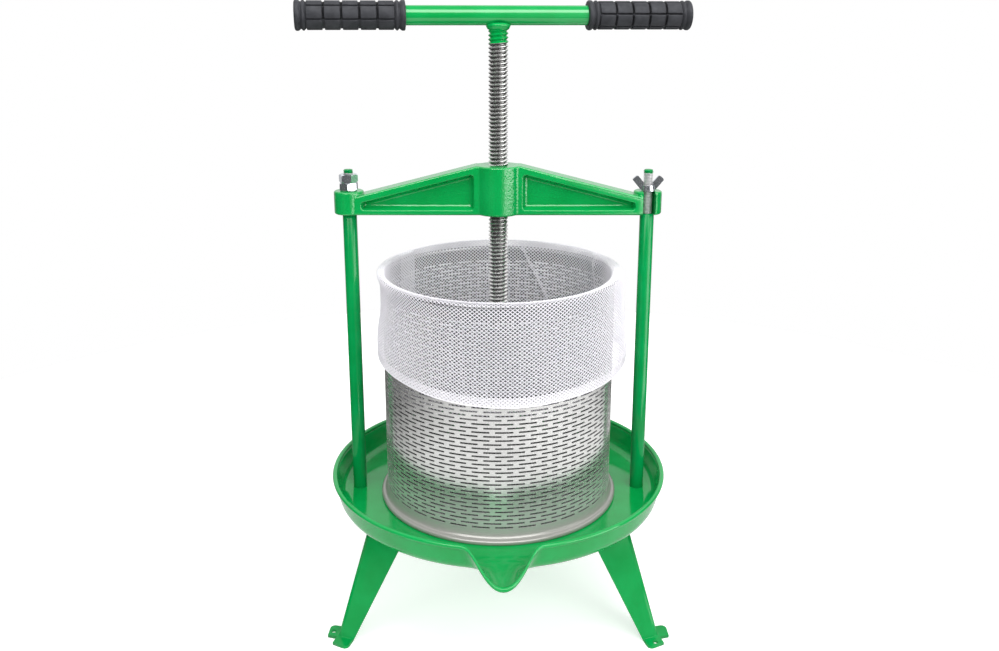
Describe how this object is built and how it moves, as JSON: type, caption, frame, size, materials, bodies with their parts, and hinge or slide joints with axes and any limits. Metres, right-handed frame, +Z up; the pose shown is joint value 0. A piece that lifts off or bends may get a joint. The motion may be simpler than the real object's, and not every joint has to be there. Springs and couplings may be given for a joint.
{
  "type": "fruit press",
  "caption": "Bench fruit press: a hand-turned screw in a crossbeam drives a plate into a slotted basket with a net bag, over a footed tray with a pouring spout.",
  "frame": {"origin": "on the screw's axis at the level of the feet's undersides, at the centre of the foot holes' circle", "axes": "+Z up along the screw, -Y towards the spout, the posts stand at -X and +X"},
  "size_m": [0.3884, 0.4111, 0.6435],
  "materials": {
    "green_paint": "gloss enamel on sheet and bar",
    "green_cast": "gloss enamel on a casting",
    "screw_steel": "turned, oiled",
    "plate_steel": "brushed",
    "zinc": "bright zinc plate",
    "grip_rubber": "moulded, matt",
    "stainless": "polished sheet",
    "net": "woven nylon net"
  },
  "bodies": {
    "stand": {"tray": "green_paint", "leg_front_left": "green_paint", "leg_front_right": "green_paint", "leg_rear": "green_paint", "left_post": "green_paint", "right_post": "green_paint", "post_base_washers": "zinc", "post_base_nuts": "zinc", "crossbeam": "green_cast", "pivot_nut": "zinc", "pivot_lock_nut": "zinc"},
    "plate": {"press_plate": "plate_steel", "plate_hub": "plate_steel", "hub_set_screws": "zinc"},
    "screw": {"press_screw": "screw_steel", "handle_bar": "green_paint", "handle_weld": "green_paint", "left_grip": "grip_rubber", "right_grip": "grip_rubber"},
    "clamp_nut": {"wing_nut": "zinc"},
    "strainer": {"basket": "stainless", "filter_bag": "net"}
  },
  "joints": [
    {"name": "press_travel", "type": "slide", "parent": "stand", "child": "plate", "axis": [0, 0, 1], "range_m": [-0.12, 0.12]},
    {"name": "screw_turn", "type": "hinge", "parent": "plate", "child": "screw", "pos_m": [0, 0, 0.36985], "axis": [0, 0, 1], "range_deg": [-10800, 10800]},
    {"name": "wing_nut_turn", "type": "hinge", "parent": "stand", "child": "clamp_nut", "pos_m": [0.1525, 0, 0.46], "axis": [0, 0, 1], "range_deg": [0, 360]},
    {"name": "basket_lift", "type": "slide", "parent": "stand", "child": "strainer", "axis": [0, 0, 1], "range_m": [0, 0.05], "deforming": ["filter_bag"]}
  ],
  "couplings": [
    {"joint": "press_travel", "follows": "screw_turn", "m_per_rad": 0.00063662}
  ]
}
